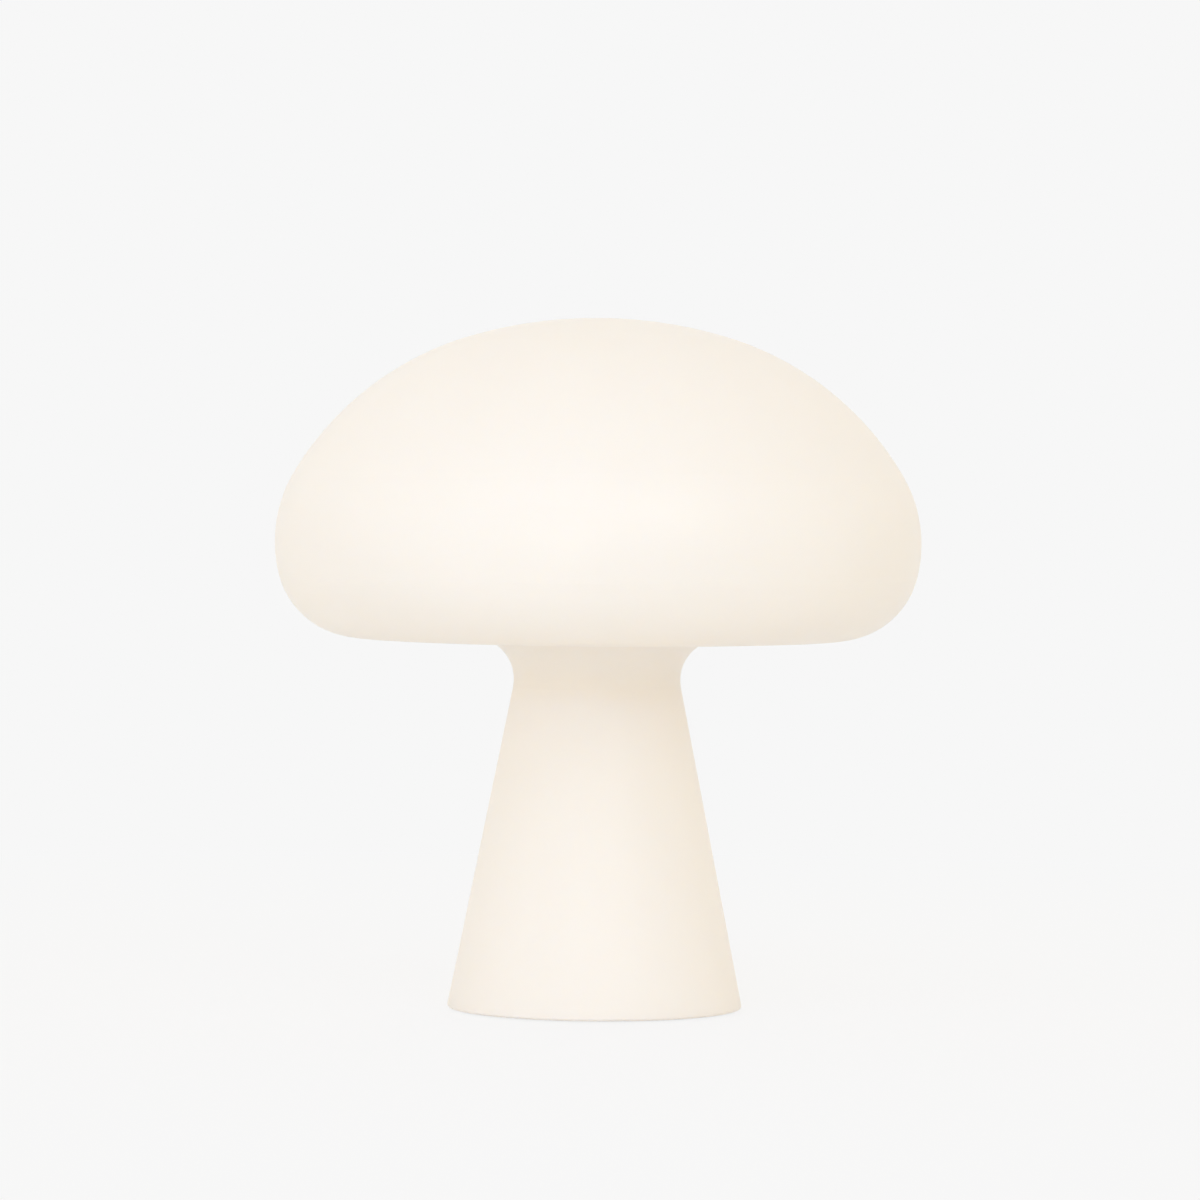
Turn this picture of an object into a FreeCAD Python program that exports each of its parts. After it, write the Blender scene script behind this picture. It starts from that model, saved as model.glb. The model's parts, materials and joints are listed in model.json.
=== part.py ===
"""Portable table lamp in the form of a mushroom: one blown opal glass body, lit from inside.

The glass is a single hollow blowing, cap and stem in one, open only at the stem's rim and at a
small port ground through the back. A light unit goes up into it from below: a moulded chassis with
two cells in a holder, a tube that carries the LED head into the cap, a board, a steel ballast ring,
and a cover with the push button. The chassis is screwed to a ring that is bonded into the glass.

Millimetres. +Z is up, the origin is the middle of the base on the table, and +Y is the back,
where the charging port is. Run it to write parts/NODE.step, one file for each sub-part.
"""

import FreeCAD
import Part

import os
from math import cos, hypot, pi, radians, sin, sqrt, tan

# ---------------------------------------------------------------- driving dimensions

# Blown glass
CAP_RADIUS = 112.5
EDGE_RADIUS = 28.6           # arc of the cap's round lower edge
SHOULDER_RADIUS = 47.6       # arc through the widest ring
SHOULDER_BELOW = 14.2        # degrees of the shoulder arc below the widest ring
SHOULDER_ABOVE = 31.0        # degrees of it above the widest ring
HAUNCH_RADIUS = 106.5
HAUNCH_TURN = 42.6           # degrees of the haunch arc, before the crown closes the dome
UNDERSIDE_HEIGHT = 128.8     # rim of the stem up to the flat underside of the cap
NECK_RADIUS = 14.4           # hollow curve where the stem runs into the cap
RIM_RADIUS = 51.5            # outside of the stem at its rim
STEM_ANGLE = 11.25           # half angle of the stem's cone, in degrees
GLASS_WALL = 3.5
RIM_ROUNDING = 0.8           # fire-polished edges of the rim
RIM_LIFT = 0.5               # rim above the table

# Foot ring and bottom cover
FOOT_INNER_RADIUS = 38.5
FOOT_WIDTH = 6.5
FOOT_THICKNESS = 2.2
FOOT_BEVEL = 0.4
FOOT_SIDE_GAP = 0.15
COVER_RECESS = 0.6           # cover's face above the glass rim
COVER_THICKNESS = 2.6
COVER_GAP = 0.5              # cover's edge to the glass
COVER_BEVEL = 0.5
DISH_RADIUS = 16.0           # finger dish round the button
DISH_DEPTH = 1.0

# Push button and its switch
BUTTON_RADIUS = 9.0
BUTTON_GAP = 0.3             # button to the hole and the collar that guide it
BUTTON_PROUD = 0.7           # button's face below the edge of its hole
BUTTON_TRAVEL = 0.8
BUTTON_WALL = 1.6
BUTTON_LIP = 1.6             # retaining lip beyond the button's side
BUTTON_LIP_THICKNESS = 1.0
BUTTON_BEVEL = 0.4
BUTTON_POST_RADIUS = 2.2
BUTTON_HOLLOW = 0.5          # depth of the hollow that the fingertip feels
COLLAR_WALL = 1.5
COLLAR_HEIGHT = 3.0
REST_GAP = 0.05              # faces of two moving pieces that meet at rest
SWITCH_SIDE = 6.0
SWITCH_HEIGHT = 3.5
PLUNGER_RADIUS = 1.75
PLUNGER_PROUD = 1.0
PLUNGER_LENGTH = 2.7
PLUNGER_GAP = 0.1
PLUNGER_BEVEL = 0.25
SWITCH_ROUNDING = 0.4        # upright corners of the switch

# Ballast ring
BALLAST_THICKNESS = 5.0
BALLAST_GAP = 0.6

# Chassis
CHASSIS_WALL = 2.0
DECK_THICKNESS = 2.5
DECK_HEIGHT = 23.2           # rim of the glass up to the underside of the deck
SKIRT_GAP = 2.3              # skirt to the glass, at the deck
CABLE_SLOT = (5.6, 16.4)     # opening for the leads, across and front to back

# Ring bonded into the glass
RING_HEIGHT = 7.0
RING_INNER_RADIUS = 31.0
BEAD_THICKNESS = 0.8
BEAD_SEAT = 0.05             # film between the bead and what it bonds

# Main board
BOARD_RADIUS = 33.0
BOARD_THICKNESS = 1.6
BOARD_DROP = 10.2            # underside of the deck down to the board's top face
TONGUE_WIDTH = 13.0          # rear tongue that carries the charging socket

# Pillars of the cover and bosses of the chassis, which clamp the board
PILLAR_CIRCLE = 27.0
PILLAR_RADIUS = 4.2
PILLAR_GAP = 0.8
PILLAR_ANGLES = (30, 150, 270)

# Screws: radius of shank, radius of head, height of head, length under the head
COVER_SCREW = (1.5, 2.8, 2.0, 16.0)
CHASSIS_SCREW = (1.5, 2.75, 2.0, 8.0)
HOLDER_SCREW = (1.25, 2.3, 1.6, 5.0)
LED_SCREW = (1.0, 1.9, 1.2, 3.8)
THREAD_GAP = 0.05
HEAD_GAP = 0.3
SCREW_TIP_ROOM = 0.6
SCREW_BEVEL = 0.5            # round the edge of the head and the tip of the shank
SOCKET_HALF_WIDTH = 0.5      # hexagon socket's half width, as a share of the head's radius
SOCKET_FLOOR = 0.4           # material left under the socket, as a share of the head's height
CHASSIS_SCREW_CIRCLE = 34.5
CHASSIS_SCREW_ANGLES = (90, 210, 330)
HOLDER_SCREW_CIRCLE = 24.5
HOLDER_SCREW_ANGLES = (90, 210, 330)

# Charging socket and the bezel in the glass
SOCKET_WIDTH = 8.94
SOCKET_HEIGHT = 3.16
SOCKET_LENGTH = 7.35
SOCKET_SHEET = 0.3
TONGUE_BLADE = (6.7, 0.7, 4.5)
SOCKET_SETBACK = 1.3         # socket's mouth inside the inner face of the glass
PLUG_WIDTH = 13.0            # recess that takes the moulded end of the plug
PLUG_HEIGHT = 7.2
BEZEL_WALL = 1.3
BEZEL_GAP = 0.3
BEZEL_FLANGE = 1.8           # flange beyond the hole in the glass
BEZEL_THICKNESS = 1.0
BEZEL_SEAT = 0.1             # gasket film under the flange
BEZEL_BARB = 0.5
BARB_LENGTH = 1.2

# Cells and their holder
CELL_RADIUS = 9.2
CELL_LENGTH = 65.0
CELL_SPACING = 0.6           # between the two cells
CELL_BEVEL = 0.6             # round both ends of a cell
CELL_TERMINAL = (3.0, 0.8)   # radius and height of the button end
CELL_GROOVE = (2.2, 1.0, 0.5)  # crimp groove: below the top, width, depth
CELL_GAP = 0.3
LINK_THICKNESS = 0.3
LINK_WIDTH = 8.0
INSULATOR_THICKNESS = 0.8
PAD_THICKNESS = 5.0          # also the room in which the leads turn in over the cells
HOLDER_WALL = 1.8
HOLDER_ROOF = 2.5
HOLDER_FLANGE_RADIUS = 28.5
HOLDER_FLANGE_THICKNESS = 3.0
GUSSET_HEIGHT = 14.0
GUSSET_THICKNESS = 1.6
GUSSET_SETBACK = 2.8         # gusset's foot inside the edge of the flange
GUSSET_PITCH = 16.0          # between the two gussets on each long side

# Tube, lock nuts and boss
COLUMN_RADIUS = 5.0
COLUMN_WALL = 1.2
BOSS_RADIUS = 9.0
BOSS_HEIGHT = 10.0
NUT_HALF_FLATS = 7.0
NUT_HEIGHT = 3.0
NUT_BEVEL = 0.65

# LED head
HEAD_BELOW_WIDEST = 9.0      # LED board's top face under the widest ring of the cap
SINK_RADIUS = 23.2
SINK_DISC = 3.0
SINK_FLANGE = 1.2
FIN_COUNT = 16
FIN_THICKNESS = 1.2
FIN_HEIGHT = 11.0
FIN_SETBACK = 1.4
FIN_EDGE_HEIGHT = 3.6        # height of a fin at its outer end
HUB_RADIUS = 8.5
LED_BOARD_RADIUS = 19.5
LED_BOARD_THICKNESS = 1.6
LED_COUNT = 12
LED_CIRCLE = 14.5
LED_SIZE = (3.5, 2.8, 0.8)
LED_SCREW_CIRCLE = 9.0
LED_SCREW_ANGLES = (90, 210, 330)
LEAD_HOLE_RADIUS = 3.0
DOME_WALL = 1.5
DOME_GAP = 0.15
DOME_SKIRT = 8.0
DOME_SHOULDER_RADIUS = 12.0
DOME_SHOULDER_TURN = 60.0    # degrees of the dome's shoulder arc, before its crown

# Leads
LEAD_RADIUS = 0.7
LEAD_SPREAD = 2.4            # between the two leads of a pair
LEAD_ROW = 6.4               # pair's distance in front of or behind the axis, between the cells
LEAD_BEND = 4.0
LEAD_ARCH = 4.8              # height of the LED leads' arch over their board
LEAD_PAD_RADIUS = 7.5        # where the LED leads are soldered down

# Small components of the board
CONNECTOR_SIZE = (7.5, 4.8, 6.0)
CONNECTOR_BEVEL = 0.5
INDUCTOR = (4.0, 4.5)        # radius and height
INDUCTOR_FOOT = 0.9          # height of its square foot
INDUCTOR_PLACE = (-19.0, -6.0)
CHIPS = (                    # x, y, width, depth, height
    (16.0, 8.0, 5.0, 5.0, 1.0),
    (18.0, -6.0, 4.0, 4.0, 0.9),
    (-15.0, 9.0, 6.0, 4.9, 1.6),
    (8.0, -18.0, 3.2, 1.6, 1.2),
    (-8.0, -18.0, 3.2, 1.6, 1.2),
)
STATUS_LED_SIZE = (1.6, 0.8, 0.7)
STATUS_LED_X = 8.5
STATUS_LED_Y = 27.0

# ---------------------------------------------------------------- heights that follow

SLOPE = tan(radians(STEM_ANGLE))
UNDERSIDE_Z = RIM_LIFT + UNDERSIDE_HEIGHT
WIDEST_Z = UNDERSIDE_Z + EDGE_RADIUS + (SHOULDER_RADIUS - EDGE_RADIUS) * sin(radians(SHOULDER_BELOW))
COVER_BOTTOM = RIM_LIFT + COVER_RECESS
COVER_TOP = COVER_BOTTOM + COVER_THICKNESS
DECK_BOTTOM = RIM_LIFT + DECK_HEIGHT
DECK_TOP = DECK_BOTTOM + DECK_THICKNESS
RING_TOP = DECK_TOP + RING_HEIGHT
BOARD_TOP = DECK_BOTTOM - BOARD_DROP
BOARD_BOTTOM = BOARD_TOP - BOARD_THICKNESS
SWITCH_BOTTOM = BOARD_BOTTOM - SWITCH_HEIGHT
PLUNGER_BOTTOM = SWITCH_BOTTOM - PLUNGER_PROUD
PORT_Z = BOARD_TOP + SOCKET_HEIGHT / 2
LINK_BOTTOM_Z = DECK_TOP + INSULATOR_THICKNESS
CELL_BOTTOM = LINK_BOTTOM_Z + LINK_THICKNESS
CELL_TOP = CELL_BOTTOM + CELL_LENGTH
PAD_BOTTOM = CELL_TOP + LINK_THICKNESS
ROOF_BOTTOM = PAD_BOTTOM + PAD_THICKNESS
ROOF_TOP = ROOF_BOTTOM + HOLDER_ROOF
BOSS_TOP = ROOF_TOP + BOSS_HEIGHT
LED_BOARD_TOP = WIDEST_Z - HEAD_BELOW_WIDEST
SINK_TOP = LED_BOARD_TOP - LED_BOARD_THICKNESS
SINK_BOTTOM = SINK_TOP - SINK_DISC
HUB_BOTTOM = SINK_BOTTOM - FIN_HEIGHT
SKIRT_BOTTOM = COVER_TOP
CELL_PITCH = 2 * CELL_RADIUS + CELL_SPACING


def stem_radius(z, offset=0.0):
    """Radius at height z of the stem's outer cone, moved by offset square to the glass."""
    return RIM_RADIUS - SLOPE * (z - RIM_LIFT) + offset / cos(radians(STEM_ANGLE))


SKIRT_RADIUS = stem_radius(DECK_TOP, -GLASS_WALL) - SKIRT_GAP
PORT_INNER_Y = stem_radius(PORT_Z, -GLASS_WALL)
SOCKET_MOUTH = PORT_INNER_Y - SOCKET_SETBACK

# ---------------------------------------------------------------- helpers


def vec(x, y, z):
    return FreeCAD.Vector(x, y, z)


Z_AXIS = vec(0, 0, 1)
ORIGIN = vec(0, 0, 0)


def line(start, end):
    return Part.LineSegment(start, end).toShape()


def rounded_run(corners, roundings):
    """Edges from the first corner to the last: straight runs, with a tangent arc at each rounded corner."""
    edges = []
    start = corners[0]
    for before, corner, after, rounding in zip(corners, corners[1:], corners[2:], roundings[1:]):
        if rounding:
            back = (before - corner).normalize()
            ahead = (after - corner).normalize()
            half = back.getAngle(ahead) / 2
            reach = rounding / tan(half)
            arc_start = corner + back * reach
            arc_end = corner + ahead * reach
            middle = corner + (back + ahead).normalize() * (rounding / sin(half) - rounding)
            if (arc_start - start).Length > 1e-6:
                edges.append(line(start, arc_start))
            edges.append(Part.Arc(arc_start, middle, arc_end).toShape())
            start = arc_end
        else:
            edges.append(line(start, corner))
            start = corner
    if (corners[-1] - start).Length > 1e-6:
        edges.append(line(start, corners[-1]))
    return edges


def section_run(points):
    """Edges in the half section: points are (r, z) or (r, z, rounding)."""
    corners = [vec(p[0], 0, p[1]) for p in points]
    return rounded_run(corners, [p[2] if len(p) > 2 else 0 for p in points])


def revolved(edges):
    return Part.Face(Part.Wire(edges)).revolve(ORIGIN, Z_AXIS, 360)


def lathe(*points):
    """Solid of revolution from a closed half section. The first point is a sharp corner."""
    return revolved(section_run([*points, points[0]]))


def disc(radius, bottom, top, x=0.0, y=0.0):
    return Part.makeCylinder(radius, top - bottom, vec(x, y, bottom))


def ring(outer, inner, bottom, top):
    return disc(outer, bottom, top).cut(disc(inner, bottom, top))


def block(width, depth, bottom, top, x=0.0, y=0.0):
    return Part.makeBox(width, depth, top - bottom, vec(x - width / 2, y - depth / 2, bottom))


def stadium(width, depth, bottom, top):
    """Upright prism with a slot's outline: width along X, and ends that are half circles."""
    radius = depth / 2
    straight = (width - depth) / 2
    edges = [
        line(vec(-straight, -radius, bottom), vec(straight, -radius, bottom)),
        Part.Arc(
            vec(straight, -radius, bottom),
            vec(straight + radius, 0, bottom),
            vec(straight, radius, bottom),
        ).toShape(),
        line(vec(straight, radius, bottom), vec(-straight, radius, bottom)),
        Part.Arc(
            vec(-straight, radius, bottom),
            vec(-straight - radius, 0, bottom),
            vec(-straight, -radius, bottom),
        ).toShape(),
    ]
    return Part.Face(Part.Wire(edges)).extrude(vec(0, 0, top - bottom))


def port_prism(width, height, front, back):
    """Slot-shaped prism through the back of the lamp, from y = front to y = back, round the port's axis."""
    prism = stadium(width, height, 0, back - front)
    prism.rotate(ORIGIN, vec(1, 0, 0), -90)
    prism.translate(vec(0, front, PORT_Z))
    return prism


def hexagon(half_flats, bottom, top, x=0.0, y=0.0):
    corner = half_flats / cos(pi / 6)
    points = [vec(x + corner * cos(k * pi / 3), y + corner * sin(k * pi / 3), bottom) for k in range(7)]
    return Part.Face(Part.makePolygon(points)).extrude(vec(0, 0, top - bottom))


def around(circle, angles):
    """Places on a circle round the axis."""
    return [(circle * cos(radians(a)), circle * sin(radians(a))) for a in angles]


def evenly(count):
    return [360.0 * k / count for k in range(count)]


def fused(shapes):
    return shapes[0].multiFuse(shapes[1:]).removeSplitter() if len(shapes) > 1 else shapes[0]


def screw_up(size, place, seat):
    """Screw driven upwards: its head's bearing face is at height seat, and its shank goes up from it."""
    shank_radius, head_radius, head_height, length = size
    screw = lathe(
        (0, -head_height),
        (head_radius - SCREW_BEVEL, -head_height),
        (head_radius, SCREW_BEVEL - head_height),
        (head_radius, 0),
        (shank_radius, 0),
        (shank_radius, length - SCREW_BEVEL),
        (shank_radius - SCREW_BEVEL, length),
        (0, length),
    )
    socket = hexagon(head_radius * SOCKET_HALF_WIDTH, -head_height, -head_height * SOCKET_FLOOR)
    screw = screw.cut(socket)
    screw.translate(vec(*place, seat))
    return screw


def screw_down(size, place, seat):
    """Screw driven downwards from height seat."""
    screw = screw_up(size, (0, 0), 0)
    screw.rotate(ORIGIN, vec(1, 0, 0), 180)
    screw.translate(vec(*place, seat))
    return screw


def lead(points, roundings):
    """Round insulated lead along straight runs and tangent arcs."""
    corners = [vec(*p) for p in points]
    path = Part.Wire(rounded_run(corners, roundings))
    start = corners[0]
    outline = Part.Wire(Part.Circle(start, corners[1] - start, LEAD_RADIUS).toShape())
    return path.makePipeShell([outline], True, False)


# ---------------------------------------------------------------- glass


def swept_arc(centre, radius, start, end):
    """Arc in the half section from one angle to another, in radians up from level."""
    points = [
        vec(centre[0] + radius * cos(angle), 0, centre[1] + radius * sin(angle))
        for angle in (start, (start + end) / 2, end)
    ]
    return Part.Arc(*points).toShape()


def next_centre(centre, radius, next_radius, angle):
    """Centre of the arc that carries on from another without a corner, at the given angle."""
    step = radius - next_radius
    return centre[0] + step * cos(angle), centre[1] + step * sin(angle)


def glass_outline(offset):
    """Half outline of the blowing from rim to top: its outer face, or its inner face a wall's offset in.

    The cap is four arcs that run into each other: edge, shoulder, haunch and crown.
    """
    low = -radians(SHOULDER_BELOW)
    high = radians(SHOULDER_ABOVE)
    crown_start = high + radians(HAUNCH_TURN)
    shoulder = (CAP_RADIUS - SHOULDER_RADIUS, WIDEST_Z)
    edge = next_centre(shoulder, SHOULDER_RADIUS, EDGE_RADIUS, low)
    haunch = next_centre(shoulder, SHOULDER_RADIUS, HAUNCH_RADIUS, high)
    crown_radius = HAUNCH_RADIUS + haunch[0] / cos(crown_start)
    crown = next_centre(haunch, HAUNCH_RADIUS, crown_radius, crown_start)
    underside = UNDERSIDE_Z + offset
    stem = section_run(
        [
            (stem_radius(RIM_LIFT, -GLASS_WALL / 2), RIM_LIFT),
            (stem_radius(RIM_LIFT, -offset), RIM_LIFT, RIM_ROUNDING),
            (stem_radius(underside, -offset), underside, NECK_RADIUS + offset),
            (edge[0], underside),
        ]
    )
    cap = [
        swept_arc(edge, EDGE_RADIUS - offset, -pi / 2, low),
        swept_arc(shoulder, SHOULDER_RADIUS - offset, low, high),
        swept_arc(haunch, HAUNCH_RADIUS - offset, high, crown_start),
        swept_arc(crown, crown_radius - offset, crown_start, pi / 2),
    ]
    return [*stem, *cap], vec(0, 0, crown[1] + crown_radius - offset)


def glass_body():
    outer, outer_top = glass_outline(0)
    inner, inner_top = glass_outline(GLASS_WALL)
    blown = revolved(Part.__sortEdges__([*outer, line(outer_top, inner_top), *inner]))
    hole_width = PLUG_WIDTH + 2 * (BEZEL_WALL + BEZEL_GAP)
    hole_height = PLUG_HEIGHT + 2 * (BEZEL_WALL + BEZEL_GAP)
    return blown.cut(port_prism(hole_width, hole_height, PORT_INNER_Y / 2, RIM_RADIUS + GLASS_WALL))


def cone_shell(inner_offset, outer_offset, bottom, top):
    """Ring between two faces that follow the stem's outer cone."""
    return lathe(
        (stem_radius(bottom, inner_offset), bottom),
        (stem_radius(bottom, outer_offset), bottom),
        (stem_radius(top, outer_offset), top),
        (stem_radius(top, inner_offset), top),
    )


# ---------------------------------------------------------------- ring bonded into the glass


def bonding_bead():
    inner = -GLASS_WALL - BEAD_THICKNESS + BEAD_SEAT
    return cone_shell(inner, -GLASS_WALL - BEAD_SEAT, DECK_TOP, RING_TOP)


def mounting_ring():
    offset = -GLASS_WALL - BEAD_THICKNESS
    body = lathe(
        (RING_INNER_RADIUS, DECK_TOP),
        (stem_radius(DECK_TOP, offset), DECK_TOP),
        (stem_radius(RING_TOP, offset), RING_TOP),
        (RING_INNER_RADIUS, RING_TOP),
    )
    shank_radius, _, _, length = CHASSIS_SCREW
    top = DECK_BOTTOM + length + SCREW_TIP_ROOM
    holes = [
        disc(shank_radius + THREAD_GAP, DECK_TOP, top, x, y)
        for x, y in around(CHASSIS_SCREW_CIRCLE, CHASSIS_SCREW_ANGLES)
    ]
    return body.cut(holes)


# ---------------------------------------------------------------- chassis, cover, foot and ballast


def chassis():
    """Moulded deck with a skirt down to the cover, and three bosses that clamp the board."""
    deck = disc(SKIRT_RADIUS, DECK_BOTTOM, DECK_TOP)
    skirt = ring(SKIRT_RADIUS, SKIRT_RADIUS - CHASSIS_WALL, SKIRT_BOTTOM, DECK_BOTTOM)
    pillars = around(PILLAR_CIRCLE, PILLAR_ANGLES)
    bosses = [disc(PILLAR_RADIUS, BOARD_TOP, DECK_BOTTOM, x, y) for x, y in pillars]
    body = fused([deck, skirt, *bosses])
    window_half = TONGUE_WIDTH / 2 + CHASSIS_WALL
    window = Part.makeBox(
        2 * window_half,
        2 * CHASSIS_WALL,
        DECK_BOTTOM - CHASSIS_WALL - (BOARD_BOTTOM - PILLAR_GAP),
        vec(-window_half, SKIRT_RADIUS - 2 * CHASSIS_WALL, BOARD_BOTTOM - PILLAR_GAP),
    )
    across, along = CABLE_SLOT
    cuts = [window, block(across, along, DECK_BOTTOM, DECK_TOP)]
    shank, _, _, length = COVER_SCREW
    screw_top = cover_screw_seat() + length + SCREW_TIP_ROOM
    cuts += [disc(shank + THREAD_GAP, BOARD_TOP, screw_top, x, y) for x, y in pillars]
    for size, circle, angles in (
        (CHASSIS_SCREW, CHASSIS_SCREW_CIRCLE, CHASSIS_SCREW_ANGLES),
        (HOLDER_SCREW, HOLDER_SCREW_CIRCLE, HOLDER_SCREW_ANGLES),
    ):
        cuts += [disc(size[0] + HEAD_GAP, DECK_BOTTOM, DECK_TOP, x, y) for x, y in around(circle, angles)]
    return body.cut(cuts)


def cover_screw_seat():
    """Height of the face in the cover's pillars that the screw heads bear on."""
    return COVER_BOTTOM + COVER_SCREW[2] + HEAD_GAP


def bottom_cover():
    """Disc with the foot's groove, the finger dish, the button's collar and three pillars."""
    hole = BUTTON_RADIUS + BUTTON_GAP
    foot_inner = FOOT_INNER_RADIUS - FOOT_SIDE_GAP
    foot_outer = FOOT_INNER_RADIUS + FOOT_WIDTH + FOOT_SIDE_GAP
    edge = stem_radius(COVER_TOP, -GLASS_WALL) - COVER_GAP
    plate = lathe(
        (hole, COVER_TOP),
        (hole, COVER_BOTTOM + DISH_DEPTH),
        (DISH_RADIUS, COVER_BOTTOM),
        (foot_inner, COVER_BOTTOM),
        (foot_inner, FOOT_THICKNESS),
        (foot_outer, FOOT_THICKNESS),
        (foot_outer, COVER_BOTTOM),
        (edge - COVER_BEVEL, COVER_BOTTOM),
        (edge, COVER_BOTTOM + COVER_BEVEL),
        (edge, COVER_TOP),
    )
    collar_inner = BUTTON_RADIUS + BUTTON_LIP + BUTTON_GAP
    collar = ring(collar_inner + COLLAR_WALL, collar_inner, COVER_TOP, COVER_TOP + COLLAR_HEIGHT)
    places = around(PILLAR_CIRCLE, PILLAR_ANGLES)
    pillars = [disc(PILLAR_RADIUS, COVER_TOP, BOARD_BOTTOM, x, y) for x, y in places]
    cuts = []
    for x, y in places:
        cuts.append(disc(COVER_SCREW[0] + HEAD_GAP, COVER_BOTTOM, BOARD_BOTTOM, x, y))
        cuts.append(disc(COVER_SCREW[1] + HEAD_GAP, COVER_BOTTOM, cover_screw_seat(), x, y))
    return fused([plate, collar, *pillars]).cut(cuts)


def foot_ring():
    outer = FOOT_INNER_RADIUS + FOOT_WIDTH
    return lathe(
        (FOOT_INNER_RADIUS, FOOT_THICKNESS),
        (FOOT_INNER_RADIUS, FOOT_BEVEL),
        (FOOT_INNER_RADIUS + FOOT_BEVEL, 0),
        (outer - FOOT_BEVEL, 0),
        (outer, FOOT_BEVEL),
        (outer, FOOT_THICKNESS),
    )


def ballast_ring():
    inner = BUTTON_RADIUS + BUTTON_LIP + BUTTON_GAP + COLLAR_WALL + BALLAST_GAP
    outer = SKIRT_RADIUS - CHASSIS_WALL - BALLAST_GAP
    holes = [
        disc(PILLAR_RADIUS + PILLAR_GAP, COVER_TOP, COVER_TOP + BALLAST_THICKNESS, x, y)
        for x, y in around(PILLAR_CIRCLE, PILLAR_ANGLES)
    ]
    return ring(outer, inner, COVER_TOP, COVER_TOP + BALLAST_THICKNESS).cut(holes)


# ---------------------------------------------------------------- push button and switch


def push_button():
    """Hollow moulded button: a dished face, a lip that keeps it in, and a post to the switch."""
    face = COVER_BOTTOM + DISH_DEPTH - BUTTON_PROUD
    floor = face + BUTTON_HOLLOW + BUTTON_WALL
    lip_bottom = COVER_TOP + REST_GAP
    lip_top = lip_bottom + BUTTON_LIP_THICKNESS
    inner = BUTTON_RADIUS - BUTTON_WALL
    dish_edge = BUTTON_RADIUS - BUTTON_WALL / 2
    edges = section_run(
        [
            (dish_edge, face),
            (BUTTON_RADIUS - BUTTON_BEVEL, face),
            (BUTTON_RADIUS, face + BUTTON_BEVEL),
            (BUTTON_RADIUS, lip_bottom),
            (BUTTON_RADIUS + BUTTON_LIP, lip_bottom),
            (BUTTON_RADIUS + BUTTON_LIP, lip_top),
            (inner, lip_top),
            (inner, floor),
            (BUTTON_POST_RADIUS, floor),
            (BUTTON_POST_RADIUS, PLUNGER_BOTTOM - REST_GAP),
            (0, PLUNGER_BOTTOM - REST_GAP),
            (0, face + BUTTON_HOLLOW),
        ]
    )
    hollow_radius = (dish_edge**2 + BUTTON_HOLLOW**2) / (2 * BUTTON_HOLLOW)
    halfway = dish_edge / 2
    rise = BUTTON_HOLLOW - hollow_radius + sqrt(hollow_radius**2 - halfway**2)
    hollow = Part.Arc(
        vec(0, 0, face + BUTTON_HOLLOW), vec(halfway, 0, face + rise), vec(dish_edge, 0, face)
    ).toShape()
    return revolved(Part.__sortEdges__([*edges, hollow]))


def plunger_top():
    return PLUNGER_BOTTOM + PLUNGER_LENGTH


def tact_switch():
    body = block(SWITCH_SIDE, SWITCH_SIDE, SWITCH_BOTTOM, BOARD_BOTTOM)
    body = body.makeFillet(SWITCH_ROUNDING, [e for e in body.Edges if abs(e.tangentAt(0).z) > 0.9])
    well_top = plunger_top() + BUTTON_TRAVEL + PLUNGER_GAP
    return body.cut(disc(PLUNGER_RADIUS + PLUNGER_GAP, SWITCH_BOTTOM, well_top))


def switch_plunger():
    return lathe(
        (0, PLUNGER_BOTTOM),
        (PLUNGER_RADIUS - PLUNGER_BEVEL, PLUNGER_BOTTOM),
        (PLUNGER_RADIUS, PLUNGER_BOTTOM + PLUNGER_BEVEL),
        (PLUNGER_RADIUS, plunger_top()),
        (0, plunger_top()),
    )


# ---------------------------------------------------------------- main board and what it carries


def main_board():
    tongue_end = SOCKET_MOUTH - BOARD_THICKNESS / 2
    tongue = Part.makeBox(
        TONGUE_WIDTH, tongue_end, BOARD_THICKNESS, vec(-TONGUE_WIDTH / 2, 0, BOARD_BOTTOM)
    )
    holes = [
        disc(COVER_SCREW[0] + HEAD_GAP, BOARD_BOTTOM, BOARD_TOP, x, y)
        for x, y in around(PILLAR_CIRCLE, PILLAR_ANGLES)
    ]
    return fused([disc(BOARD_RADIUS, BOARD_BOTTOM, BOARD_TOP), tongue]).cut(holes)


def usb_socket_shell():
    """Drawn steel shell, open at the back of the lamp and closed at its other end."""
    front = SOCKET_MOUTH - SOCKET_LENGTH
    outer = port_prism(SOCKET_WIDTH, SOCKET_HEIGHT, front, SOCKET_MOUTH)
    inside = (SOCKET_WIDTH - 2 * SOCKET_SHEET, SOCKET_HEIGHT - 2 * SOCKET_SHEET)
    return outer.cut(port_prism(*inside, front + SOCKET_SHEET, SOCKET_MOUTH))


def usb_socket_tongue():
    """Moulded block that fills the back of the shell, with the contact tongue that goes into the plug."""
    width, height, length = TONGUE_BLADE
    front = SOCKET_MOUTH - SOCKET_LENGTH + SOCKET_SHEET
    inside = (SOCKET_WIDTH - 2 * SOCKET_SHEET, SOCKET_HEIGHT - 2 * SOCKET_SHEET)
    blade_start = SOCKET_MOUTH - SOCKET_SHEET - length
    filler = port_prism(*inside, front, blade_start)
    blade = Part.makeBox(width, length, height, vec(-width / 2, blade_start, PORT_Z - height / 2))
    return fused([filler, blade])


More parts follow.
